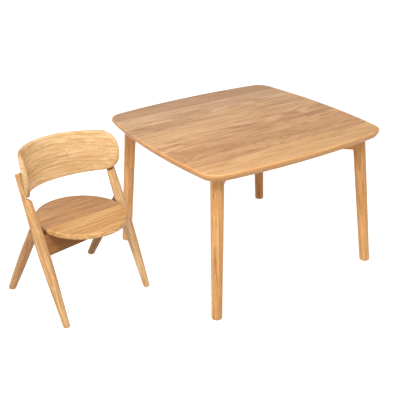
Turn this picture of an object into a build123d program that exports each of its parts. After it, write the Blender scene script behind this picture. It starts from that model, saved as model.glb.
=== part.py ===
"""A low oak children's table and one small oak chair, as separate pieces of joinery.

Millimetres, +Z up, the fronts towards -Y. Left and right are as seen by someone who stands in
front of the set, so left is -X. The table is drawn about its own centre, the chair about the
centre of its four feet, and both are then placed in one frame whose origin is the middle of
the set's footprint, on the floor.
"""

import os
from math import cos, radians, sin, sqrt

from build123d import *

os.makedirs("parts", exist_ok=True)

# ------------------------------------------------------------------ table, driving dimensions
TOP_WIDTH = 700.0  # across the bowed sides, both ways
TABLE_HEIGHT = 479.0
TOP_THICKNESS = 23.0
TOP_CORNER_INSET = 24.0  # from the overall square to the point where two bowed sides meet
TOP_CORNER_RADIUS = 60.0
TOP_EDGE_ROUND = 4.5
TOP_BEVEL_RISE = 13.5  # the bevel under the edge
TOP_BEVEL_RUN = 9.0
STAVE_COUNT = 7

TABLE_LEG_FOOT = 307.0  # leg axis at the floor, measured from both centre lines
TABLE_LEG_LEAN = 0.079  # how far the axis leans in, both ways, for each mm of height
TABLE_LEG_FOOT_RADIUS = 16.9
TABLE_LEG_TOP_RADIUS = 20.3
TABLE_FOOT_ROUND = 4.0

CROSS_RAIL_HEIGHT = 49.0
CROSS_RAIL_THICKNESS = 24.0
CROSS_RAIL_HOUSING = 8.0  # how deep a rail end is let into its leg

CROSS_RAIL_SCREW_REACH = (120.0, 290.0)  # screws, out from the centre along each arm
CROSS_RAIL_SCREW_WOOD = 24.0  # rail left above each screw's head

LEG_BOLT_DIAMETER = 8.0
LEG_BOLT_IN_LEG = 18.0
LEG_BOLT_IN_RAIL = 45.0
BARREL_NUT_DIAMETER = 12.0
BARREL_NUT_LENGTH = 18.0
BARREL_NUT_HOLE_DEPTH = 21.0
BARREL_NUT_SETBACK = 32.0  # from the rail end to the nut

# ------------------------------------------------------------------ chair, driving dimensions
CHAIR_X = -584.65  # centre of the chair's feet, from the table's centre
CHAIR_Y = 100.6
CHAIR_TURN = 11.8  # degrees, turned towards the table

SEAT_HEIGHT = 292.3  # the top of its middle
SEAT_TILT = 2.7  # degrees, the rear edge lower
SEAT_THICKNESS = 18.0
SEAT_HALF_WIDTH = 130.0
SEAT_HALF_DEPTH = 166.0
SEAT_FORWARD = 61.7  # seat centre, ahead of the feet's centre
SEAT_JOINT_FORWARD = 89.0  # the glue line between the two boards, on the chair's centre line
SEAT_JOINT_TURN = -6.6  # degrees, the glue line's angle to the chair's width
SEAT_TOP_ROUND = 5.0
SEAT_BOTTOM_ROUND = 6.0

FRONT_FOOT_X = 156.5
FRONT_FOOT_FORWARD = 160.0
FRONT_LEG_TOE_IN = 0.011  # sideways, for each mm of height
FRONT_LEG_RAKE = 0.353  # backwards, for each mm of height
FRONT_LEG_RADII = {-20: 10.2, 117: 14.5, 244: 17.3, 350: 15.4, 484: 11.6}  # by distance up it
LEG_TOP_ROUND = 2.5

REAR_FOOT_X = 159.0
REAR_FOOT_FORWARD = -160.0
REAR_LEG_TOE_IN = 0.015
REAR_LEG_RAKE = -0.712
REAR_LEG_RADII = {-20: 11.1, 147: 15.1, 380: 13.8}
REAR_LEG_SHOULDER = 12.0  # from the front leg's axis back to the face that the rear leg meets
CHAIR_FOOT_ROUND = 4.0

SEAT_RAIL_THICKNESS = 18.0
FRONT_RAIL_LOW = 212.0  # height at which each rail's lower edge crosses the legs' axes
REAR_RAIL_LOW = 224.0
SEAT_RAIL_EDGE_ROUND = 2.0
SEAT_RAIL_REACH = 145.0  # half length, with its ends let into the legs

BACK_TILT = 3.9  # degrees
BACK_HEIGHT = 143.5  # in the middle
BACK_MIDDLE = 429.5  # height of the backrest's middle
BACK_BEHIND = 93.0  # the front face of its middle, behind the feet's centre
BACK_THICKNESS = 13.4
BACK_CURVE_WIDTH = 171.7  # half axes of the ellipse that its front face follows
BACK_CURVE_DEPTH = 274.4
BACK_CURVE_END = 14.0  # degrees from the ellipse's cross axis, well past the trimmed ends
BACK_REACH = 156.5  # from the middle forward to the ends
BACK_LOWER_RISE = 25.8  # how far the lower edge climbs towards the ends
BACK_UPPER_RISE = 4.7
BACK_UPPER_END_ROUND = 55.0
BACK_LOWER_END_ROUND = 64.0
BACK_EDGE_ROUND = 4.3
NOTCH_HEIGHT = 379.0  # the post's shoulder under the backrest
NOTCH_SLOPE = 30.0  # degrees, falling inwards

DOWEL_DIAMETER = 8.0
RAIL_DOWEL_LENGTH = 30.0
RAIL_DOWEL_PLACES = (0.28, 0.72)  # shares of the rail's height
LEG_DOWEL_IN_REAR_LEG = 26.0
LEG_DOWEL_IN_FRONT_LEG = 18.0
BACK_DOWEL_DIAMETER = 6.0
BACK_DOWEL_LENGTH = 18.0
BACK_DOWEL_ANGLE = 52.0  # degrees around the backrest's ellipse, from its middle
BACK_DOWEL_HEIGHTS = (-20.0, 12.0)  # from the backrest's middle height
SEAT_SCREW_X = 78.0
SEAT_RAIL_SCREW_WOOD = 26.0  # rail left above each screw's head, along the rail

# ------------------------------------------------------------------ screws
SCREW_DIAMETER = 4.5
SCREW_HEAD_DIAMETER = 9.0
SCREW_HEAD_HEIGHT = 3.5
SCREW_BITE = 11.0  # how far a screw enters the board above its rail

SIDES = {"left": -1, "right": 1}
ENDS = {"front": -1, "rear": 1}

top_underside = TABLE_HEIGHT - TOP_THICKNESS
seat_up = Vector(0, sin(radians(SEAT_TILT)), cos(radians(SEAT_TILT)))
seat_middle = Vector(0, -SEAT_FORWARD, SEAT_HEIGHT)
seat_underside = Plane(origin=seat_middle - seat_up * SEAT_THICKNESS, x_dir=(1, 0, 0), z_dir=seat_up)
pieces = {}  # node name: (builder, whether it belongs to the chair)


def keep(name, builder, on_chair):
    """Give a finished piece its name and note which piece of furniture it belongs to."""
    builder.part.label = name
    pieces[name] = (builder, on_chair)


def axial_plane(foot, direction):
    """A plane through a leg's axis: its Y runs up the axis and its X is level."""
    up = direction.normalized()
    level = up.cross(Vector(0, 0, 1)).normalized()
    return Plane(origin=foot, x_dir=level, z_dir=level.cross(up))


def square_plane(foot, direction, distance=0.0):
    """A plane square to a leg's axis, some distance up it."""
    return Plane(origin=foot + direction.normalized() * distance, z_dir=direction)


# ================================================================== table
top_corner = TOP_WIDTH / 2 - TOP_CORNER_INSET
bowed_side = (
    Vector(-top_corner, -top_corner),
    Vector(0, -TOP_WIDTH / 2),
    Vector(top_corner, -top_corner),
)
with BuildPart() as tabletop:
    with BuildSketch(Plane.XY.offset(top_underside)) as top_outline:
        with BuildLine():
            for turn in (0, 90, 180, 270):
                ThreePointArc(*(point.rotate(Axis.Z, turn) for point in bowed_side))
        make_face()
        fillet(top_outline.vertices(), TOP_CORNER_RADIUS)
    extrude(amount=TOP_THICKNESS)
    top_face = tabletop.faces().sort_by(Axis.Z)[-1]
    fillet(top_face.edges(), TOP_EDGE_ROUND)
    under_face = tabletop.faces().sort_by(Axis.Z)[0]
    chamfer(under_face.edges(), TOP_BEVEL_RUN, TOP_BEVEL_RISE, reference=under_face)


def wood_screw(head_plane, shank):
    """A pan-head screw that points along the plane's normal, with its head below the plane."""
    with BuildPart() as screw:
        with BuildSketch(head_plane):
            Circle(SCREW_HEAD_DIAMETER / 2)
        extrude(amount=-SCREW_HEAD_HEIGHT)
        with BuildSketch(head_plane):
            Circle(SCREW_DIAMETER / 2)
        extrude(amount=shank)
    return screw


def bored(plane, diameter, depth):
    """A plain round bore, or a dowel of the same size, along the plane's normal."""
    with BuildPart() as bore:
        with BuildSketch(plane):
            Circle(diameter / 2)
        extrude(amount=depth)
    return bore


# Screws stand along both diagonals and pull the cross rails up against the top.
screw_head_level = top_underside - CROSS_RAIL_SCREW_WOOD
screw_points = [
    Vector(reach, 0, screw_head_level).rotate(Axis.Z, 45 + 90 * quarter)
    for quarter in range(4)
    for reach in CROSS_RAIL_SCREW_REACH
]
with BuildPart() as top_screws:
    for point in screw_points:
        add(wood_screw(Plane(origin=point), CROSS_RAIL_SCREW_WOOD + SCREW_BITE).part)
keep("tabletop_screws", top_screws, False)

stave_width = TOP_WIDTH / STAVE_COUNT
for index in range(STAVE_COUNT):
    middle = (index - (STAVE_COUNT - 1) / 2) * stave_width
    with BuildPart() as stave:
        add(tabletop.part)
        with Locations((0, middle, top_underside + TOP_THICKNESS / 2)):
            Box(TOP_WIDTH, stave_width, TOP_THICKNESS, mode=Mode.INTERSECT)
        add(top_screws.part, mode=Mode.SUBTRACT)
    keep(f"tabletop_stave_{index + 1}", stave, False)

# Each leg is named by its corner. Its axis leans in along the table's diagonal.
corners = {
    f"{end}_{side}": (x_sign, y_sign)
    for end, y_sign in ENDS.items()
    for side, x_sign in SIDES.items()
}
rail_level = top_underside - CROSS_RAIL_HEIGHT / 2
leg_axis_at_rail = (TABLE_LEG_FOOT - TABLE_LEG_LEAN * rail_level) * sqrt(2)
rail_reach = leg_axis_at_rail - TABLE_LEG_TOP_RADIUS + CROSS_RAIL_HOUSING

rails = {}
for letter, turn, lap_from, lap_to in (("a", 45, 0.5, 1.0), ("b", -45, 0.0, 0.5)):
    rail_plane = Plane.XY.rotated((0, 0, turn)).offset(top_underside - CROSS_RAIL_HEIGHT)
    lap_height = (lap_to - lap_from) * CROSS_RAIL_HEIGHT
    with BuildPart() as rail:
        with BuildSketch(rail_plane):
            Rectangle(2 * rail_reach, CROSS_RAIL_THICKNESS)
        extrude(amount=CROSS_RAIL_HEIGHT)
        # the half lap where the two rails cross
        with BuildSketch(rail_plane.offset(lap_from * CROSS_RAIL_HEIGHT)):
            Rectangle(CROSS_RAIL_THICKNESS, CROSS_RAIL_THICKNESS)
        extrude(amount=lap_height, mode=Mode.SUBTRACT)
    rails[letter] = rail

leg_bolts = []
barrel_nuts = []
nut_bores = []
for x_sign, y_sign in corners.values():
    outward = Vector(x_sign, y_sign, 0).normalized()
    across = Vector(-y_sign, x_sign, 0).normalized()
    bolt_start = outward * (rail_reach - LEG_BOLT_IN_RAIL) + Vector(0, 0, rail_level)
    bolt_plane = Plane(origin=bolt_start, z_dir=outward)
    leg_bolts.append(bored(bolt_plane, LEG_BOLT_DIAMETER, LEG_BOLT_IN_RAIL + LEG_BOLT_IN_LEG))
    nut_centre = outward * (rail_reach - BARREL_NUT_SETBACK) + Vector(0, 0, rail_level)
    face_point = nut_centre + across * (CROSS_RAIL_THICKNESS / 2)
    bore_plane = Plane(origin=face_point, z_dir=across * -1)
    nut_bores.append(bored(bore_plane, BARREL_NUT_DIAMETER, BARREL_NUT_HOLE_DEPTH))
    nut_plane = bore_plane.offset(BARREL_NUT_HOLE_DEPTH - BARREL_NUT_LENGTH)
    barrel_nuts.append(bored(nut_plane, BARREL_NUT_DIAMETER, BARREL_NUT_LENGTH))

with BuildPart() as bolt_group:
    for bolt in leg_bolts:
        add(bolt.part)
keep("table_leg_bolts", bolt_group, False)

with BuildPart() as nut_group:
    for nut in barrel_nuts:
        add(nut.part)
    add(bolt_group.part, mode=Mode.SUBTRACT)
keep("table_barrel_nuts", nut_group, False)

# The bores that let each screw head come up inside its rail.
with BuildPart() as head_bores:
    for point in screw_points:
        bore_bottom = Plane(origin=(point.X, point.Y, top_underside - CROSS_RAIL_HEIGHT))
        add(bored(bore_bottom, SCREW_HEAD_DIAMETER, CROSS_RAIL_HEIGHT - CROSS_RAIL_SCREW_WOOD).part)

for letter, rail in rails.items():
    with BuildPart() as finished_rail:
        add(rail.part)
        for bore in nut_bores:
            add(bore.part, mode=Mode.SUBTRACT)
        add(bolt_group.part, mode=Mode.SUBTRACT)
        add(head_bores.part, mode=Mode.SUBTRACT)
        add(top_screws.part, mode=Mode.SUBTRACT)
    keep(f"table_cross_rail_{letter}", finished_rail, False)

for name, (x_sign, y_sign) in corners.items():
    foot = Vector(x_sign * TABLE_LEG_FOOT, y_sign * TABLE_LEG_FOOT, 0)
    leg_axis = Vector(-x_sign * TABLE_LEG_LEAN, -y_sign * TABLE_LEG_LEAN, 1)
    taper = (TABLE_LEG_TOP_RADIUS - TABLE_LEG_FOOT_RADIUS) / top_underside
    spare = TABLE_LEG_TOP_RADIUS  # past both ends, before they are cut level
    with BuildPart() as leg:
        with BuildSketch(square_plane(foot, leg_axis, -spare)):
            Circle(TABLE_LEG_FOOT_RADIUS - taper * spare)
        with BuildSketch(square_plane(foot, leg_axis, top_underside + spare)):
            Circle(TABLE_LEG_TOP_RADIUS + taper * spare)
        loft()
        split(bisect_by=Plane.XY, keep=Keep.TOP)
        split(bisect_by=Plane.XY.offset(top_underside), keep=Keep.BOTTOM)
        fillet(leg.faces().sort_by(Axis.Z)[0].edges(), TABLE_FOOT_ROUND)
        for rail in rails.values():
            add(rail.part, mode=Mode.SUBTRACT)
        add(bolt_group.part, mode=Mode.SUBTRACT)
    keep(f"table_leg_{name}", leg, False)


# ================================================================== chair
rear_legs = {}


def turned(foot, direction, radii):
    """A leg turned about its axis. radii gives its radius at distances up the axis."""
    stations = [(radius, distance) for distance, radius in radii.items()]
    with BuildPart() as turning:
        with BuildSketch(axial_plane(foot, direction)):
            with BuildLine():
                flank = Spline(*stations)
                Polyline(flank @ 1, (0, stations[-1][1]), (0, stations[0][1]), flank @ 0)
            make_face()
        revolve(axis=Axis(foot, direction))
    return turning


def front_leg_axis(sign):
    foot = Vector(sign * FRONT_FOOT_X, -FRONT_FOOT_FORWARD, 0)
    return foot, Vector(-sign * FRONT_LEG_TOE_IN, FRONT_LEG_RAKE, 1)


def rear_leg_axis(sign):
    foot = Vector(sign * REAR_FOOT_X, -REAR_FOOT_FORWARD, 0)
    return foot, Vector(-sign * REAR_LEG_TOE_IN, REAR_LEG_RAKE, 1)


# The rear legs end on a flat face that lies along the front legs' axes.
rearward = Vector(0, 1, -FRONT_LEG_RAKE).normalized()
leg_dowels = []
for side, sign in SIDES.items():
    front_foot = front_leg_axis(sign)[0]
    rear_foot, rear_direction = rear_leg_axis(sign)
    meeting_plane = Plane(origin=front_foot + rearward * REAR_LEG_SHOULDER, z_dir=rearward)
    with BuildPart() as rear_leg:
        add(turned(rear_foot, rear_direction, REAR_LEG_RADII).part)
        split(bisect_by=Plane.XY, keep=Keep.TOP)
        fillet(rear_leg.faces().sort_by(Axis.Z)[0].edges(), CHAIR_FOOT_ROUND)
        split(bisect_by=meeting_plane, keep=Keep.TOP)
    rear_legs[side] = rear_leg
    upwards = rear_direction.normalized()
    gap = rearward.dot(rear_foot - meeting_plane.origin)
    meeting_distance = -gap / rearward.dot(upwards)
    dowel_plane = square_plane(rear_foot, upwards, meeting_distance - LEG_DOWEL_IN_REAR_LEG)
    dowel_length = LEG_DOWEL_IN_REAR_LEG + LEG_DOWEL_IN_FRONT_LEG
    leg_dowels.append(bored(dowel_plane, DOWEL_DIAMETER, dowel_length))

with BuildPart() as leg_dowel_group:
    for dowel in leg_dowels:
        add(dowel.part)
keep("chair_leg_dowels", leg_dowel_group, True)

# ------------------------------------------------------------------ seat rails
seat_rails = {}
rail_dowels = []
seat_screws = []
seat_screw_bores = []
for end, low, axis_of in (
    ("front", FRONT_RAIL_LOW, front_leg_axis),
    ("rear", REAR_RAIL_LOW, rear_leg_axis),
):
    # Each rail lies in the plane of its pair of legs.
    foot, direction = axis_of(1)
    along = Vector(0, direction.Y, 1).normalized()
    low_point = Vector(0, foot.Y + direction.Y * low, low)
    thickness_way = Vector(0, along.Z, -along.Y)
    section = Plane(origin=low_point, x_dir=thickness_way, z_dir=(1, 0, 0))
    reach_up = seat_up.dot(seat_underside.origin - low_point) / seat_up.dot(along)
    with BuildPart() as seat_rail:
        with BuildSketch(section):
            Rectangle(SEAT_RAIL_THICKNESS, 2 * reach_up, align=(Align.CENTER, Align.MIN))
        extrude(amount=SEAT_RAIL_REACH, both=True)
        split(bisect_by=seat_underside, keep=Keep.BOTTOM)
        lower_edges = seat_rail.edges().filter_by(Axis.X).sort_by(Axis.Z)[:2]
        fillet(lower_edges, SEAT_RAIL_EDGE_ROUND)
    seat_rails[end] = seat_rail
    for sign in SIDES.values():
        inner_end = Vector(sign * (SEAT_RAIL_REACH - RAIL_DOWEL_LENGTH / 2), 0, 0)
        for share in RAIL_DOWEL_PLACES:
            start = inner_end + low_point + along * (share * reach_up)
            dowel_plane = Plane(origin=start, z_dir=(sign, 0, 0))
            rail_dowels.append(bored(dowel_plane, DOWEL_DIAMETER, RAIL_DOWEL_LENGTH))
        screw_foot = Vector(sign * SEAT_SCREW_X, low_point.Y, low_point.Z)
        head_plane = square_plane(screw_foot, along, reach_up - SEAT_RAIL_SCREW_WOOD)
        seat_screws.append(wood_screw(head_plane, SEAT_RAIL_SCREW_WOOD + SCREW_BITE))
        seat_screw_bores.append(
            bored(square_plane(screw_foot, along, -SEAT_RAIL_THICKNESS), SCREW_HEAD_DIAMETER,
                  reach_up - SEAT_RAIL_SCREW_WOOD + SEAT_RAIL_THICKNESS)
        )

with BuildPart() as rail_dowel_group:
    for dowel in rail_dowels:
        add(dowel.part)
keep("chair_rail_dowels", rail_dowel_group, True)

with BuildPart() as seat_screw_group:
    for screw in seat_screws:
        add(screw.part)
keep("chair_seat_screws", seat_screw_group, True)

for end, seat_rail in seat_rails.items():
    with BuildPart() as finished_rail:
        add(seat_rail.part)
        add(rail_dowel_group.part, mode=Mode.SUBTRACT)
        for bore in seat_screw_bores:
            add(bore.part, mode=Mode.SUBTRACT)
        add(seat_screw_group.part, mode=Mode.SUBTRACT)
    keep(f"chair_{end}_rail", finished_rail, True)

# ------------------------------------------------------------------ seat
with BuildPart() as seat:
    with BuildSketch(seat_underside):
        Ellipse(SEAT_HALF_WIDTH, SEAT_HALF_DEPTH)
    extrude(amount=SEAT_THICKNESS)
    fillet(seat.faces().sort_by(Axis.Z)[-1].edges(), SEAT_TOP_ROUND)
    fillet(seat.faces().sort_by(Axis.Z)[0].edges(), SEAT_BOTTOM_ROUND)

joint_turn = radians(SEAT_JOINT_TURN)
glue_line = Plane(
    origin=(0, -SEAT_JOINT_FORWARD, 0), z_dir=(-sin(joint_turn), cos(joint_turn), 0)
)
for end, half in (("front", Keep.BOTTOM), ("rear", Keep.TOP)):
    with BuildPart() as board:
        add(seat.part)
        split(bisect_by=glue_line, keep=half)
        add(seat_screw_group.part, mode=Mode.SUBTRACT)
    keep(f"chair_seat_{end}_board", board, True)

# ------------------------------------------------------------------ backrest
# The backrest's own frame: X across, Y back, Z up its tilted height, from the middle of the
# front face. Its plan follows an ellipse whose centre lies ahead of it.
tilt = radians(BACK_TILT)
back_frame = Plane(
    origin=(0, BACK_BEHIND, BACK_MIDDLE), x_dir=(1, 0, 0), z_dir=(0, sin(tilt), cos(tilt))
)
curve_centre = (0, -BACK_CURVE_DEPTH)
outer_width = BACK_CURVE_WIDTH + BACK_THICKNESS
outer_depth = BACK_CURVE_DEPTH + BACK_THICKNESS
sweep_angle = 180 - 2 * BACK_CURVE_END

with BuildPart() as backrest:
    with BuildSketch(back_frame.offset(-BACK_HEIGHT)):
        with BuildLine():
            inner = EllipticalCenterArc(
                curve_centre, BACK_CURVE_WIDTH, BACK_CURVE_DEPTH, BACK_CURVE_END, arc_size=sweep_angle
            )
            outer = EllipticalCenterArc(
                curve_centre, outer_width, outer_depth, BACK_CURVE_END, arc_size=sweep_angle
            )
            Line(inner @ 0, outer @ 0)
            Line(inner @ 1, outer @ 1)
        make_face()
    extrude(amount=2 * BACK_HEIGHT)
    # Seen from the side the band's ends are rounded, and its lower edge climbs forwards.
    side_view = Plane(origin=back_frame.origin, x_dir=back_frame.y_dir * -1, z_dir=(-1, 0, 0))
    with BuildSketch(side_view.offset(-outer_width)) as side_outline:
        lower = -BACK_HEIGHT / 2
        upper = BACK_HEIGHT / 2
        tail = -2 * BACK_THICKNESS
        lower_slope = BACK_LOWER_RISE / BACK_REACH
        upper_slope = BACK_UPPER_RISE / BACK_REACH
        with BuildLine():
            Polyline(
                (tail, lower + tail * lower_slope),
                (BACK_REACH, lower + BACK_LOWER_RISE),
                (BACK_REACH, upper + BACK_UPPER_RISE),
                (tail, upper + tail * upper_slope),
                close=True,
            )
        make_face()
        lower_corner = side_outline.vertices().sort_by(Axis.X)[-2:].sort_by(Axis.Y)[0]
        fillet(lower_corner, BACK_LOWER_END_ROUND)
        upper_corner = side_outline.vertices().sort_by(Axis.Y)[-1]
        fillet(upper_corner, BACK_UPPER_END_ROUND)
    extrude(amount=2 * outer_width, mode=Mode.INTERSECT)
    fillet(backrest.edges(), BACK_EDGE_ROUND)

dowel_angle = radians(BACK_DOWEL_ANGLE)
back_dowels = []
for sign in SIDES.values():
    across = sign * outer_width * sin(dowel_angle)
    behind = outer_depth * cos(dowel_angle) - BACK_CURVE_DEPTH
    outwards = (
        back_frame.x_dir * (sign * outer_depth * sin(dowel_angle))
        + back_frame.y_dir * (outer_width * cos(dowel_angle))
    ).normalized()
    for height in BACK_DOWEL_HEIGHTS:
        surface_point = back_frame.from_local_coords(Vector(across, behind, height))
        start = surface_point - outwards * (BACK_DOWEL_LENGTH / 2)
        back_dowels.append(
            bored(Plane(origin=start, z_dir=outwards), BACK_DOWEL_DIAMETER, BACK_DOWEL_LENGTH)
        )

with BuildPart() as back_dowel_group:
    for dowel in back_dowels:
        add(dowel.part)
keep("chair_backrest_dowels", back_dowel_group, True)

with BuildPart() as finished_backrest:
    add(backrest.part)
    add(back_dowel_group.part, mode=Mode.SUBTRACT)
keep("chair_backrest", finished_backrest, True)

# ------------------------------------------------------------------ legs
# All that lies inside the backrest's outer face, above a sloping shoulder, is cut from the
# posts, so that the backrest's ends pass inside them.
for side, sign in SIDES.items():
    slope = radians(NOTCH_SLOPE)
    shoulder = Plane(
        origin=(sign * SEAT_RAIL_REACH, 0, NOTCH_HEIGHT), z_dir=(-sign * sin(slope), 0, cos(slope))
    )
    with BuildPart() as notch_core:
        with BuildSketch(back_frame.offset(-BACK_HEIGHT)):
            with Locations(curve_centre):
                Ellipse(outer_width, outer_depth)
        extrude(amount=2 * BACK_HEIGHT)
        split(bisect_by=shoulder, keep=Keep.TOP)
    front_foot, front_direction = front_leg_axis(sign)
    with BuildPart() as front_leg:
        add(turned(front_foot, front_direction, FRONT_LEG_RADII).part)
        fillet(front_leg.faces().sort_by(Axis.Z)[-1].edges(), LEG_TOP_ROUND)
        split(bisect_by=Plane.XY, keep=Keep.TOP)
        fillet(front_leg.faces().sort_by(Axis.Z)[0].edges(), CHAIR_FOOT_ROUND)
        add(notch_core.part, mode=Mode.SUBTRACT)
        add(rear_legs[side].part, mode=Mode.SUBTRACT)
        add(seat_rails["front"].part, mode=Mode.SUBTRACT)
        add(rail_dowel_group.part, mode=Mode.SUBTRACT)
        add(leg_dowel_group.part, mode=Mode.SUBTRACT)
        add(back_dowel_group.part, mode=Mode.SUBTRACT)
    keep(f"chair_front_leg_{side}", front_leg, True)
    with BuildPart() as finished_rear_leg:
        add(rear_legs[side].part)
        add(seat_rails["rear"].part, mode=Mode.SUBTRACT)
        add(rail_dowel_group.part, mode=Mode.SUBTRACT)
        add(leg_dowel_group.part, mode=Mode.SUBTRACT)
    keep(f"chair_rear_leg_{side}", finished_rear_leg, True)

# ================================================================== the set
chair_place = Location((CHAIR_X, CHAIR_Y, 0), (0, 0, CHAIR_TURN))
for builder, on_chair in pieces.values():
    if on_chair:
        builder.part.locate(chair_place)

extent = Compound([entry[0].part for entry in pieces.values()]).bounding_box()
to_origin = Location((-extent.center().X, -extent.center().Y, -extent.min.Z))
for name, (builder, _) in pieces.items():
    builder.part.locate(to_origin * builder.part.location)
    export_step(builder.part, f"parts/{name}.step")
print("set size", extent.size, "table centre", to_origin.position)
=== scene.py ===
import math

import bpy
import numpy as np
from mathutils import Matrix, Vector


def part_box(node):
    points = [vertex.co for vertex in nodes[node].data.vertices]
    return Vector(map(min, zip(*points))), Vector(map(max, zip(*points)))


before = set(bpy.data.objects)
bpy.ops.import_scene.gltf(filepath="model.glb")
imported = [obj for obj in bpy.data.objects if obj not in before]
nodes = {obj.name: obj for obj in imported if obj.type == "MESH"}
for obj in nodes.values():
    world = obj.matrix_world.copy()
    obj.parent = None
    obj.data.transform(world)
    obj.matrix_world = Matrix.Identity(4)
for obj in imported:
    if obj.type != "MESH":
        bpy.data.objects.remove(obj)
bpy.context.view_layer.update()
scene = bpy.context.scene

# ------------------------------------------------------------------ places, from the frame
# The tabletop's middle, which the camera and the marks on the top are placed from.
stave_low, stave_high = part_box("tabletop_stave_4")
table_centre = Vector(((stave_low.x + stave_high.x) / 2, 0, 0))


def vertices_of(name):
    mesh = nodes[name].data
    points = np.empty(len(mesh.vertices) * 3, np.float32)
    mesh.vertices.foreach_get("co", points)
    return points.reshape(-1, 3).astype(float)


def long_axis(name):
    """The middle of a straight member and the direction of its length, which points up."""
    points = vertices_of(name)
    middle = points.mean(0)
    direction = np.linalg.svd(points - middle, full_matrices=False)[2][0]
    if direction[2] < 0:
        direction = -direction
    return Vector(middle), Vector(direction).normalized()


# ------------------------------------------------------------------ camera
# Fitted to the photograph by the table's outline and legs.
SENSOR_WIDTH = 36.0
LENS = 58.43
CAMERA_PLACE = Vector((-1.2187, -1.7429, 1.2133))  # from the table's middle, on the floor
forward = Vector((0.47307, 0.76203, -0.44217)).normalized()
right = Vector((0.84235, -0.53828, -0.02645))
right = (right - forward * right.dot(forward)).normalized()
above = right.cross(forward)

camera_data = bpy.data.cameras.new("camera")
camera_data.sensor_width = SENSOR_WIDTH
camera_data.lens = LENS
camera = bpy.data.objects.new("camera", camera_data)
scene.collection.objects.link(camera)
scene.camera = camera
facing = Matrix((right, above, -forward)).transposed().to_4x4()
camera.matrix_world = Matrix.Translation(table_centre + CAMERA_PLACE) @ facing


# ------------------------------------------------------------------ node helpers
class Tree:
    """A thin wrapper that makes nodes and links them from their inputs."""

    def __init__(self, owner):
        self.owner = owner
        owner.use_nodes = True
        self.tree = owner.node_tree
        self.tree.nodes.clear()

    def node(self, kind, settings=None, **inputs):
        made = self.tree.nodes.new(kind)
        for key, value in (settings or {}).items():
            setattr(made, key, value)
        for key, value in inputs.items():
            self.put(made.inputs[key.replace("_", " ")], value)
        return made

    def put(self, socket, value):
        if isinstance(value, bpy.types.NodeSocket):
            self.tree.links.new(value, socket)
        else:
            socket.default_value = value

    def place(self):
        """Object coordinates, in metres, which stay with a piece as it moves."""
        return self.node("ShaderNodeTexCoord").outputs["Object"]

    def math(self, operation, *values, clamp=False):
        made = self.node("ShaderNodeMath", {"operation": operation, "use_clamp": clamp})
        for socket, value in zip(made.inputs, values):
            self.put(socket, value)
        return made.outputs[0]

    def times(self, a, b):
        return self.math("MULTIPLY", a, b)

    def length(self, a, b):
        return self.math("SQRT", self.math("ADD", self.times(a, a), self.times(b, b)))

    def vector(self, operation, a, b=None, scale=None):
        made = self.node("ShaderNodeVectorMath", {"operation": operation})
        self.put(made.inputs[0], a)
        if b is not None:
            self.put(made.inputs[1], b)
        if scale is not None:
            self.put(made.inputs["Scale"], scale)
        return made.outputs["Value" if operation == "DOT_PRODUCT" else "Vector"]

    def combine(self, *parts):
        made = self.node("ShaderNodeCombineXYZ")
        for socket, part in zip(made.inputs, parts):
            self.put(socket, part)
        return made.outputs[0]

    def ramp(self, value, low, high, out_low=0.0, out_high=1.0, smooth=True):
        """value mapped from low..high to out_low..out_high and held there beyond them."""
        made = self.node("ShaderNodeMapRange",
                         {"interpolation_type": "SMOOTHSTEP" if smooth else "LINEAR"})
        for key, number in zip(("Value", "From Min", "From Max", "To Min", "To Max"),
                               (value, low, high, out_low, out_high)):
            self.put(made.inputs[key], number)
        return made.outputs[0]

    def noise(self, vector, scale=1.0, detail=2.0, roughness=0.5, distortion=0.0, output=0):
        made = self.node("ShaderNodeTexNoise", {"noise_dimensions": "3D"}, Vector=vector,
                         Scale=scale, Detail=detail, Roughness=roughness, Distortion=distortion)
        return made.outputs[output]

    def mix(self, share, a, b):
        made = self.node("ShaderNodeMix", {"data_type": "RGBA", "blend_type": "MIX"})
        self.put(made.inputs[0], share)
        self.put(made.inputs[6], a)
        self.put(made.inputs[7], b)
        return made.outputs[2]

    def worn_edge(self, radius, samples):
        """1 where a normal taken over a small radius leaves the surface's own, as on an edge."""
        normal = self.node("ShaderNodeNewGeometry").outputs["Normal"]
        rounded = self.node("ShaderNodeBevel", {"samples": samples}, Radius=radius).outputs[0]
        return self.ramp(self.vector("DOT_PRODUCT", normal, rounded), 0.995, 0.9)

    def surface(self, shader, kind="Material"):
        """Makes the shader the tree's result, and returns the material or world it belongs to."""
        output = self.node(f"ShaderNodeOutput{kind}")
        self.tree.links.new(shader.outputs[0], output.inputs["Surface"])
        return self.owner


def srgb(red, green, blue):
    """A colour given as 0 to 255 display values, as linear values."""
    linear = [(c / 255 / 12.92) if c <= 10 else ((c / 255 + 0.055) / 1.055) ** 2.4
              for c in (red, green, blue)]
    return (*linear, 1.0)


def shaded(colour, *shares):
    """A linear colour times one share, or one for each channel, and no brighter than white."""
    shares = shares * 3 if len(shares) == 1 else shares
    return tuple(min(1.0, c * share) for c, share in zip(colour[:3], shares)) + (1.0,)


# ------------------------------------------------------------------ coordinates along the grain
UP = (0, 0, 1)


def straight_coordinates(t, direction, across, origin):
    """X runs along the grain and Y across it, in metres from the origin."""
    grain = Vector(direction).normalized()
    side = Vector(across)
    side = (side - grain * side.dot(grain)).normalized()
    face = grain.cross(side)
    position = t.vector("SUBTRACT", t.place(), tuple(origin))
    parts = [t.vector("DOT_PRODUCT", position, tuple(axis)) for axis in (grain, side, face)]
    return t.combine(*parts)


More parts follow.
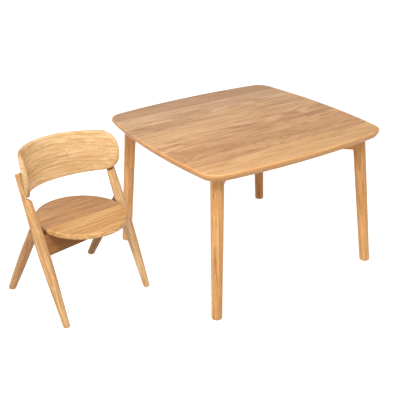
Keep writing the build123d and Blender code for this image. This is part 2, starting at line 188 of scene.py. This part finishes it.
def bent_coordinates(t, centre, turn, radius, height_span, rises):
    """Coordinates for a band bent round an upright axis: X follows the bend, Y goes up, Z outwards.
    rises says how fast the band's lower and upper edges climb forwards; the grain climbs too."""
    position = t.vector("SUBTRACT", t.place(), tuple(centre))
    depth = t.vector("DOT_PRODUCT", position, (-math.sin(turn), math.cos(turn), 0))
    width = t.vector("DOT_PRODUCT", position, (math.cos(turn), math.sin(turn), 0))
    height = t.vector("DOT_PRODUCT", position, UP)
    share = t.ramp(height, -height_span / 2, height_span / 2, smooth=False)
    climb = t.math("MULTIPLY_ADD", share, rises[1] - rises[0], rises[0])
    height = t.math("SUBTRACT", height, t.times(climb, t.math("SUBTRACT", radius, depth)))
    angle = t.math("ARCTAN2", width, depth)
    outwards = t.math("SUBTRACT", t.length(depth, width), radius)
    return t.combine(t.times(angle, radius), height, outwards)


# ------------------------------------------------------------------ oak
SATIN = 0.42  # roughness of the oiled surface
OIL_IOR = 1.46
OIL_SPECULAR = 0.3
RING_WANDER = 0.034  # metres that the rings wander, at a figure of 1
EDGE_WEAR_RADIUS = 0.0028
# Reach of the painted shade in crevices where pieces meet
PAINTED_SHADE_REACH = 0.007
RELIEF = 0.0004  # depth of the open grain
PORE_AND_SHADE_SHARES = (0.5, 0.38, 0.28)  # pores, and the painted shade where pieces meet, against the brown tone, redder as well as darker


def grow_rings(t, grain, stretched, pith, spacing, figure, tilt):
    """Growth rings round a pith line: the share of open early wood, and the place in each ring."""
    wander = t.noise(stretched(2.2, 9.0), output=1)
    wander = t.vector("SUBTRACT", wander, (0.5, 0.5, 0.5))
    bent = t.vector("ADD", grain, t.vector("SCALE", wander, scale=RING_WANDER * figure))
    along, y, z = t.node("ShaderNodeSeparateXYZ", Vector=bent).outputs
    y = t.math("ADD", t.math("SUBTRACT", y, pith[0]), t.times(along, tilt))
    z = t.math("ADD", t.math("SUBTRACT", z, pith[1]), t.times(along, -1.3 * tilt))
    ring = t.math("DIVIDE", t.length(y, z), spacing)
    ring = t.math("ADD", ring, t.times(t.noise(stretched(6, 60), detail=1.0), 0.7))
    phase = t.math("FRACT", ring)
    early = t.times(t.ramp(phase, 0.0, 0.12), t.ramp(phase, 0.62, 0.2))
    vary = t.noise(t.vector("ADD", stretched(1.2, 14.0), (7.1, 3.3, 9.2)))
    return t.times(early, t.ramp(vary, 0.3, 0.62, 0.35, 1.0)), phase


def draw_marks(t, grain, stretched, marks, colour, pale, brown):
    """Single marks, each with its kind, middle, half length, half width, slant and strength:
    brown smears, nested loops where the saw ran along the rings, or pale veins."""
    place = t.node("ShaderNodeSeparateXYZ", Vector=grain).outputs
    wobble = t.math("MULTIPLY_ADD", t.noise(stretched(16.0, 40.0, 17.0)), 0.016, -0.008)
    torn = t.ramp(t.noise(stretched(12.0, 240.0, 19.0), detail=3.0), 0.36, 0.58)
    for kind, middle, half_length, half_width, slant, strength in marks:
        run = t.math("SUBTRACT", place[0], middle[0])
        offset = wobble if kind == "smear" else t.times(wobble, 0.25)
        rise = t.math("ADD", t.math("SUBTRACT", place[1], middle[1]), offset)
        rise = t.math("SUBTRACT", rise, t.times(run, slant))
        reach = t.length(t.math("DIVIDE", run, half_length), t.math("DIVIDE", rise, half_width))
        if kind == "smear":
            mask = t.times(t.ramp(reach, 1.0, 0.3), torn)
        elif kind == "loop":
            line = t.math("SUBTRACT", t.math("FRACT", t.times(reach, 2.2)), 0.5)
            mask = t.times(t.ramp(t.math("ABSOLUTE", line), 0.26, 0.48), t.ramp(reach, 1.4, 0.8))
        else:
            mask = t.ramp(reach, 1.0, 0.4)
        tint = shaded(pale, 1.15) if kind == "vein" else shaded(brown, 0.6)
        colour = t.mix(t.times(mask, strength), colour, tint)
    return colour


def paint_rim_highlight_and_shade(t, colour, rim):
    """Paints a golden highlight on a top's rounded rim, and painted shade on the side below it, by
    the way each surface faces.
    """
    normal = t.node("ShaderNodeNewGeometry").outputs["Normal"]
    facing_up = t.vector("DOT_PRODUCT", normal, UP)
    # painted highlight: a golden band where the rounded rim turns down from the top
    band = t.times(t.ramp(facing_up, 0.985, 0.8), t.ramp(facing_up, 0.1, 0.4))
    colour = t.mix(t.times(band, 0.4), colour, rim)
    # painted shade: surfaces facing sideways and down are darker
    side = t.times(t.ramp(facing_up, 0.4, 0.0), t.ramp(facing_up, -0.95, -0.6))
    return t.mix(t.times(side, 0.55), colour, shaded(rim, 0.72))


def oak(name, coordinates, seed, tones, *, pith, figure, streaks, rings, spacing=0.0042,
        streak_size=1.0, tilt=0.02, wear=0.25, flecks=0.4, marks=(), rim=None):
    """Oiled oak as solid wood: growth rings round a pith line, pores along the grain, broad brown
    streaks, fine fibre, medullary flecks, slightly paler worn edges and painted shade in crevices.

    tones are the pale, the deep and the brown one, in display values. pith is where the rings'
    centre line runs, across the grain, in metres, and tilt how much it leaves the grain's
    direction. figure says how far the rings wander."""
    t = Tree(bpy.data.materials.new(name))
    pale, deep, brown = (srgb(*tone) for tone in tones)
    dark = shaded(brown, *PORE_AND_SHADE_SHARES)
    rng = np.random.default_rng(seed)
    shift = tuple(float(v) for v in rng.uniform(-20, 20, 3))
    grain = coordinates(t)
    shifted = t.vector("ADD", grain, shift)

    def stretched(along, across, offset=0.0):
        """Coordinates for a noise with so many cells to the metre along the grain and across."""
        made = t.vector("MULTIPLY", shifted, (along, across, across))
        return t.vector("ADD", made, (offset, offset * 1.7, -offset)) if offset else made

    early, phase = grow_rings(t, grain, stretched, pith, spacing, figure, tilt)
    broad = t.noise(stretched(1.7, 15.0, 4.0), detail=3.0, roughness=0.55, distortion=0.25)
    patch = t.noise(stretched(3.4 / streak_size, 34.0 / streak_size, 9.0), detail=3.0,
                    roughness=0.6, distortion=0.4)
    medium = t.noise(stretched(6.0, 150.0, 2.0), detail=4.0, roughness=0.7)
    fibre = t.noise(stretched(28.0, 1500.0, 6.0), roughness=0.6)
    pores = t.ramp(t.noise(stretched(75.0, 2300.0, 1.0), detail=1.0), 0.56, 0.66)
    pores = t.times(pores, t.math("ADD", t.times(early, 0.8), 0.2))
    fleck = t.ramp(t.noise(stretched(34.0, 420.0, 13.0), detail=1.0), 0.62, 0.72)
    dash = t.ramp(t.noise(stretched(17.0, 260.0, 21.0), distortion=0.3), 0.6, 0.7)

    colour = t.mix(t.ramp(medium, 0.36, 0.64), pale, deep)
    colour = t.mix(t.times(early, rings), colour, brown)
    colour = t.mix(t.times(t.ramp(broad, 0.42, 0.68), 0.55 * streaks), colour, brown)
    colour = t.mix(t.times(t.ramp(patch, 0.5, 0.74), 0.75 * streaks), colour, brown)
    colour = t.mix(t.ramp(fibre, 0.35, 0.7, 0.0, 0.16), colour, pale)
    colour = t.mix(t.times(fleck, flecks), colour, shaded(pale, 1.12))
    colour = t.mix(t.times(dash, 0.7 * streaks + 0.1), colour, brown)
    colour = t.mix(t.times(pores, 0.5), colour, dark)
    if marks:
        colour = draw_marks(t, grain, stretched, marks, colour, pale, brown)

    rub = t.ramp(t.noise(stretched(40.0, 90.0, 5.0)), 0.35, 0.7)
    worn = t.times(t.worn_edge(EDGE_WEAR_RADIUS, 6), t.times(rub, wear))
    colour = t.mix(worn, colour, shaded(pale, 1.25))
    # painted highlight on the rounded rim and painted shade on the side below it
    if rim:
        colour = paint_rim_highlight_and_shade(t, colour, rim)

    # painted shade: darker where two pieces meet, by ambient occlusion, where shade falls
    occlusion_share = t.node("ShaderNodeAmbientOcclusion", {"samples": 6}, Distance=PAINTED_SHADE_REACH)
    colour = t.mix(t.ramp(occlusion_share.outputs["AO"], 0.8, 0.3, 0.0, 0.8), colour, dark)

    gloss = t.ramp(medium, 0.3, 0.7, SATIN - 0.04, SATIN + 0.06)
    gloss = t.math("ADD", t.times(pores, 0.25), gloss)
    gloss = t.math("SUBTRACT", gloss, t.times(worn, 0.2), clamp=True)

    height = t.math("SUBTRACT", t.times(fibre, 0.25), pores)
    height = t.math("ADD", height, t.times(t.ramp(phase, 0.0, 1.0, smooth=False), 0.1))
    bump = t.node("ShaderNodeBump", Strength=0.35, Distance=RELIEF, Height=height)

    shader = t.node("ShaderNodeBsdfPrincipled", Base_Color=colour, Roughness=gloss,
                    Normal=bump.outputs[0])
    shader.inputs["IOR"].default_value = OIL_IOR
    shader.inputs["Specular IOR Level"].default_value = OIL_SPECULAR
    return t.surface(shader)


# ------------------------------------------------------------------ beech and zinc
def beech(name, direction, origin, seed):
    """Bare beech dowel: pale, with short dark rays and a slight fluting round it."""
    t = Tree(bpy.data.materials.new(name))
    across = UP if abs(direction[2]) < 0.8 else (1, 0, 0)
    grain = straight_coordinates(t, direction, across, origin)
    shifted = t.vector("ADD", grain, (seed * 1.3, seed * 0.7, -seed * 0.9))
    fine = t.noise(t.vector("MULTIPLY", shifted, (30.0, 900.0, 900.0)), detail=3.0)
    ray = t.noise(t.vector("MULTIPLY", shifted, (260.0, 1900.0, 1900.0)), detail=1.0)
    ray = t.ramp(ray, 0.62, 0.72)
    colour = t.mix(t.ramp(fine, 0.3, 0.7), srgb(226, 192, 150), srgb(205, 166, 122))
    colour = t.mix(t.times(ray, 0.5), colour, srgb(160, 112, 72))
    bump = t.node("ShaderNodeBump", Strength=0.4, Distance=0.0003,
                  Height=t.math("SUBTRACT", fine, ray))
    return t.surface(t.node("ShaderNodeBsdfPrincipled", Base_Color=colour,
                            Roughness=t.ramp(fine, 0.2, 0.8, 0.6, 0.75), Normal=bump.outputs[0]))


def zinc(name, seed):
    """Zinc-plated steel: slightly yellowed, cloudy, with fine turning marks and rubbed edges."""
    t = Tree(bpy.data.materials.new(name))
    place = t.vector("ADD", t.place(), (seed, seed, seed))
    cloud = t.noise(place, scale=260.0, detail=3.0)
    fine = t.noise(t.vector("MULTIPLY", place, (400.0, 400.0, 5200.0)))
    yellowed = t.ramp(t.noise(place, scale=90.0), 0.55, 0.75)
    colour = t.mix(t.ramp(cloud, 0.3, 0.7), (0.66, 0.66, 0.64, 1), (0.52, 0.53, 0.54, 1))
    colour = t.mix(t.times(yellowed, 0.35), colour, (0.62, 0.56, 0.42, 1))
    colour = t.mix(t.times(t.worn_edge(0.0006, 4), 0.6), colour, (0.8, 0.8, 0.79, 1))
    bump = t.node("ShaderNodeBump", Strength=0.25, Distance=0.0001, Height=fine)
    shader = t.node("ShaderNodeBsdfPrincipled", Base_Color=colour, Normal=bump.outputs[0],
                    Roughness=t.ramp(cloud, 0.25, 0.75, 0.28, 0.46))
    shader.inputs["Metallic"].default_value = 1.0
    return t.surface(shader)


def dress(name, material):
    slots = nodes[name].data.materials
    slots.clear()
    slots.append(material)


# ------------------------------------------------------------------ tabletop
# Each stave has its own tones, pith and streaks, from the front one to the rear one.
STAVE_LOOKS = (
    # pale, deep, brown, pith (across, below), streaks, figure, rings
    ((224, 181, 131), (206, 155, 103), (175, 121, 76), (0.03, -0.09), 0.2, 0.35, 0.3),
    ((217, 170, 124), (195, 144, 97), (152, 105, 69), (-0.02, -0.07), 0.6, 1.1, 0.6),
    ((229, 183, 135), (207, 154, 106), (156, 107, 73), (0.01, -0.06), 0.7, 1.3, 0.6),
    ((231, 187, 142), (211, 163, 115), (167, 118, 81), (-0.03, -0.08), 0.75, 1.0, 0.6),
    ((231, 187, 142), (207, 159, 115), (160, 114, 83), (0.02, -0.06), 1.0, 1.2, 0.6),
    ((233, 193, 154), (213, 170, 128), (173, 130, 95), (-0.04, -0.1), 0.6, 0.9, 0.6),
    ((210, 169, 133), (191, 148, 111), (159, 116, 86), (0.05, -0.12), 0.5, 0.7, 0.6),
)
# Marks that set single staves apart, in metres from the table's middle.
TOP_MARKS = (
    # kind, middle, half length, half width, slant, strength
    ("smear", (-0.192, -0.184), 0.040, 0.006, 0.00, 0.9),
    ("smear", (-0.252, -0.187), 0.040, 0.006, 0.00, 0.6),
    ("smear", (-0.310, -0.179), 0.040, 0.006, 0.50, 0.7),
    ("smear", (-0.274, -0.054), 0.024, 0.006, 0.20, 0.9),
    ("smear", (-0.248, -0.073), 0.028, 0.005, -0.20, 0.6),
    ("smear", (-0.300, 0.135), 0.045, 0.010, -0.20, 0.9),
    ("smear", (-0.257, 0.091), 0.040, 0.007, 0.00, 0.6),
    ("smear", (-0.032, -0.033), 0.086, 0.010, -0.15, 0.6),
    ("smear", (0.070, -0.166), 0.045, 0.009, 0.00, 0.8),
    ("loop", (-0.015, -0.192), 0.080, 0.024, 0.05, 0.3),
    ("smear", (0.275, -0.103), 0.046, 0.008, -0.05, 0.7),
    ("smear", (-0.045, 0.145), 0.037, 0.007, 0.05, 0.5),
    ("smear", (0.113, 0.128), 0.050, 0.008, 0.00, 0.6),
    ("smear", (0.240, 0.140), 0.095, 0.012, 0.00, 0.4),
    ("smear", (0.244, -0.065), 0.095, 0.012, 0.00, 0.4),
)
# Colour of the painted highlight on the tabletop's rounded rim; a darker copy of it is the painted
# shade below.
RIM_HIGHLIGHT_TONE = srgb(236, 172, 98)
for index, (*tones, pith, streaks, figure, rings) in enumerate(STAVE_LOOKS):
    name = f"tabletop_stave_{index + 1}"
    low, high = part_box(name)
    origin = (low + high) / 2
    marks = [(kind, (x + table_centre.x - origin.x, y - origin.y), *rest)
             for kind, (x, y), *rest in TOP_MARKS if low.y <= y < high.y]
    dress(name, oak(
        f"oak_{name}",
        lambda t, o=origin: straight_coordinates(t, (1, 0, 0), (0, 1, 0), o),
        11 + index, tones, pith=pith, figure=figure, streaks=streaks, rings=rings,
        tilt=0.01 * (-1) ** index, wear=0.12, marks=marks, rim=RIM_HIGHLIGHT_TONE,
    ))

# ------------------------------------------------------------------ straight members
# The grain follows each one's own length. Tones are pale, deep and brown; some members have darker
# copies of the tones, painted shade, or paler ones, painted light.
TABLE_LEG_TONES = ((235, 183, 119), (208, 150, 90), (149, 96, 51))
POST_TONES = ((226, 188, 136), (197, 148, 92), (160, 94, 42))
# Darker copies for the chair's rear legs and rails, painted shade under the seat
SHADED_REAR_LEG_TONES = ((205, 156, 94), (183, 131, 72), (134, 86, 42))
SHADED_RAIL_TONES = ((168, 120, 67), (149, 101, 51), (117, 71, 34))
MEMBERS = {
    "table_leg_front_left": TABLE_LEG_TONES,
    "table_leg_front_right": TABLE_LEG_TONES,
    # paler, brighter copy of the leg tones, painted light
    "table_leg_rear_left": ((249, 196, 131), (220, 161, 100), (158, 104, 58)),
    # darker copy of the leg tones, painted shade under the tabletop
    "table_leg_rear_right": ((198, 146, 93), (175, 119, 69), (125, 75, 39)),
    "table_cross_rail_a": TABLE_LEG_TONES,
    "table_cross_rail_b": TABLE_LEG_TONES,
    "chair_front_leg_left": POST_TONES,
    # paler copy of the post tones, painted light and painted highlight
    "chair_front_leg_right": ((232, 202, 155), (204, 162, 109), (163, 99, 49)),
    "chair_rear_leg_left": SHADED_REAR_LEG_TONES,
    # darker still, painted shade under the seat
    "chair_rear_leg_right": ((164, 120, 68), (145, 100, 52), (106, 66, 29)),
    "chair_front_rail": SHADED_RAIL_TONES,
    "chair_rear_rail": SHADED_RAIL_TONES,
}
for index, (name, tones) in enumerate(MEMBERS.items()):
    origin, direction = long_axis(name)
    across = (0, 1, 0) if abs(direction.z) > 0.5 else UP
    dress(name, oak(
        f"oak_{name}",
        lambda t, d=direction, a=across, o=origin: straight_coordinates(t, d, a, o),
        101 + index, tones, pith=(0.05, -0.06), figure=0.5, streaks=0.4, rings=0.4,
        spacing=0.0044, tilt=0.012 * (-1) ** index, flecks=0.7,
    ))

# ------------------------------------------------------------------ seat
# Two boards side by side, the grain along the glue line between them.
chair_posts = [vertices_of(f"chair_front_leg_{side}").mean(0) for side in ("left", "right")]
chair_across = Vector(chair_posts[1] - chair_posts[0])
chair_turn = math.atan2(chair_across.y, chair_across.x)
GLUE_LINE_TURN = math.radians(-6.6)  # from the chair's width
seat_grain = (math.cos(chair_turn + GLUE_LINE_TURN), math.sin(chair_turn + GLUE_LINE_TURN), 0)
SEAT_LOOKS = {
    # pale, deep, brown, pith (below, across), figure, streaks
    "chair_seat_front_board":
        ((233, 192, 132), (199, 150, 92), (149, 82, 34), (-0.05, 0.19), 0.1, 0.5),
    "chair_seat_rear_board":
        ((211, 165, 118), (183, 135, 89), (125, 84, 51), (-0.07, -0.03), 0.8, 0.45),
}
for index, (name, (*tones, pith, figure, streaks)) in enumerate(SEAT_LOOKS.items()):
    low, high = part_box(name)
    origin = (low + high) / 2
    dress(name, oak(
        f"oak_{name}", lambda t, o=origin: straight_coordinates(t, seat_grain, UP, o),
        211 + index, tones, pith=pith, figure=figure, streaks=streaks, rings=0.5,
        streak_size=0.7,
    ))

# ------------------------------------------------------------------ backrest
# A bent band, with the grain round its curve. Its marks are placed along the bend and upwards.
BACK_TONES = ((236, 208, 162), (219, 177, 121), (174, 110, 54))
BACK_MARKS = (
    ("vein", (-0.085, -0.062), 0.10, 0.0028, 0.0, 0.9),
    ("smear", (-0.085, -0.067), 0.10, 0.0028, 0.0, 0.7),
    ("smear", (0.01, 0.035), 0.09, 0.004, 0.0, 0.5),
    ("smear", (0.03, -0.01), 0.08, 0.004, 0.0, 0.4),
)
BEND_RADIUS = 0.17
GRAIN_SPAN = 0.15  # height over which the grain turns from the lower edge's rise to the upper's
GRAIN_RISES = (0.165, 0.03)
low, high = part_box("chair_backrest")
back_points = vertices_of("chair_backrest")
sideways = (math.cos(chair_turn), math.sin(chair_turn), 0)
behind = Vector((-math.sin(chair_turn), math.cos(chair_turn), 0))
widths = back_points @ np.array(sideways)
depths = back_points @ np.array(behind)
bend_centre = (
    Vector(sideways) * float((widths.max() + widths.min()) / 2)
    + behind * (float(depths.max()) - BEND_RADIUS)
    + Vector((0, 0, (low.z + high.z) / 2))
)
dress("chair_backrest", oak(
    "oak_chair_backrest",
    lambda t: bent_coordinates(t, bend_centre, chair_turn, BEND_RADIUS, GRAIN_SPAN, GRAIN_RISES),
    307, BACK_TONES, pith=(0.2, -0.03), figure=0.45, streaks=0.55, rings=0.2,
    spacing=0.013, tilt=0.0, marks=BACK_MARKS,
))

# ------------------------------------------------------------------ fixings, closed in by wood
for index, name in enumerate(("chair_leg_dowels", "chair_rail_dowels", "chair_backrest_dowels")):
    low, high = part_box(name)
    direction = chair_across.normalized()
    if name == "chair_leg_dowels":
        direction = long_axis("chair_rear_leg_left")[1]
    dress(name, beech(f"beech_{name}", tuple(direction), (low + high) / 2, 3.0 + index))
for index, name in enumerate(("table_leg_bolts", "table_barrel_nuts", "tabletop_screws",
                              "chair_seat_screws")):
    dress(name, zinc(f"zinc_{name}", 1.7 * (index + 1)))


# ------------------------------------------------------------------ floor and backdrop
WHITE = (1.0, 1.0, 1.0, 1)
FLOOR_HALF = 12.0
FLOOR_DROP = 0.0005  # below the feet
FLOOR_GLOW = 0.7
BACKDROP_RADIUS = FLOOR_HALF * 0.95
BACKDROP_SIDES = 48
BACKDROP_FOOT = -0.1
BACKDROP_HEIGHT = 14.0


def studio_piece(name, vertices, faces, material):
    mesh = bpy.data.meshes.new(name)
    mesh.from_pydata(vertices, [], faces)
    mesh.materials.append(material)
    made = bpy.data.objects.new(name, mesh)
    scene.collection.objects.link(made)
    return made


t = Tree(bpy.data.materials.new("pale_floor"))
speckle = t.noise(t.place(), scale=9.0, detail=3.0)
paint = t.mix(speckle, (0.93, 0.93, 0.93, 1), (0.96, 0.96, 0.955, 1))
shader = t.node("ShaderNodeBsdfPrincipled", Base_Color=paint,
                Roughness=t.ramp(speckle, 0.2, 0.8, 0.75, 0.85))
shader.inputs["Specular IOR Level"].default_value = 0.1
shader.inputs["Emission Color"].default_value = WHITE
shader.inputs["Emission Strength"].default_value = FLOOR_GLOW
corners = [(x * FLOOR_HALF, y * FLOOR_HALF, 0) for x, y in ((-1, -1), (1, -1), (1, 1), (-1, 1))]
floor = studio_piece("floor", corners, [(0, 1, 2, 3)], t.surface(shader))
floor.location.z = -FLOOR_DROP
floor.visible_diffuse = False  # the floor takes shadows but throws no light up

# The backdrop stands all round and only the camera sees it, so the floor has no horizon.
t = Tree(bpy.data.materials.new("pale_backdrop"))
cloth = t.ramp(t.noise(t.place(), scale=1.5), 0.0, 1.0, 0.97, 1.02)
paper = t.node("ShaderNodeEmission", Color=WHITE, Strength=cloth)
turns = [math.tau * k / BACKDROP_SIDES for k in range(BACKDROP_SIDES)]
posts = [(BACKDROP_RADIUS * math.cos(turn), BACKDROP_RADIUS * math.sin(turn)) for turn in turns]
walls = [(k, (k + 1) % BACKDROP_SIDES, (k + 1) % BACKDROP_SIDES + BACKDROP_SIDES,
          k + BACKDROP_SIDES) for k in range(BACKDROP_SIDES)]
backdrop = studio_piece(
    "backdrop", [(x, y, z) for z in (BACKDROP_FOOT, BACKDROP_HEIGHT) for x, y in posts], walls,
    t.surface(paper))
for ray in ("diffuse", "glossy", "transmission", "volume_scatter", "shadow"):
    setattr(backdrop, f"visible_{ray}", False)

# ------------------------------------------------------------------ light
# The studio: a soft ceiling, a bright wall on the camera's side and a dim one behind the set, and
# warm light thrown up by the floor.
CEILING = (0.5, 0.5, 0.5)
FRONT_WALL = (1.0, 0.99, 0.97)
REAR_WALL = (0.42, 0.4, 0.37)
BELOW = (0.6, 0.51, 0.42)
CAMERA_SIDE = (-0.527, -0.85, 0)
AIM = Vector((0, 0, 0.35))  # where the lamps look, from the middle of the set

world = bpy.data.worlds.new("studio")
scene.world = world
sky = Tree(world)
outlook = sky.node("ShaderNodeTexCoord").outputs["Generated"]
climb = sky.vector("DOT_PRODUCT", outlook, UP)
above_ground = sky.ramp(climb, -0.02, 0.03)
wall = sky.times(above_ground, sky.ramp(climb, 0.6, 0.25))
front = sky.ramp(sky.vector("DOT_PRODUCT", outlook, CAMERA_SIDE), -0.2, 0.5)
glow = sky.vector("SCALE", CEILING, scale=sky.ramp(climb, 0.25, 0.6))
for colour, share in (
    (FRONT_WALL, sky.times(wall, front)),
    (REAR_WALL, sky.times(wall, sky.math("SUBTRACT", 1.0, front))),
    (BELOW, sky.math("SUBTRACT", 1.0, above_ground)),
):
    glow = sky.vector("ADD", glow, sky.vector("SCALE", colour, scale=share))
sky.surface(sky.node("ShaderNodeBackground", Color=glow, Strength=1.0), "World")


def softbox(name, place, size, power, colour):
    """A square light, placed from the middle of the set, which isn't seen itself."""
    data = bpy.data.lights.new(name, "AREA")
    data.shape = "SQUARE"
    data.size = size
    data.energy = power
    data.color = colour
    lamp = bpy.data.objects.new(name, data)
    scene.collection.objects.link(lamp)
    lamp.location = place
    lamp.rotation_euler = (Vector(place) - AIM).to_track_quat("Z", "Y").to_euler()
    lamp.visible_camera = False


softbox("key", (-0.6, -1.2, 2.2), 1.1, 38.0, (1.0, 0.99, 0.98))
softbox("left", (-2.2, -0.3, 1.2), 1.1, 15.0, (1.0, 0.98, 0.96))

scene.view_settings.view_transform = "Standard"
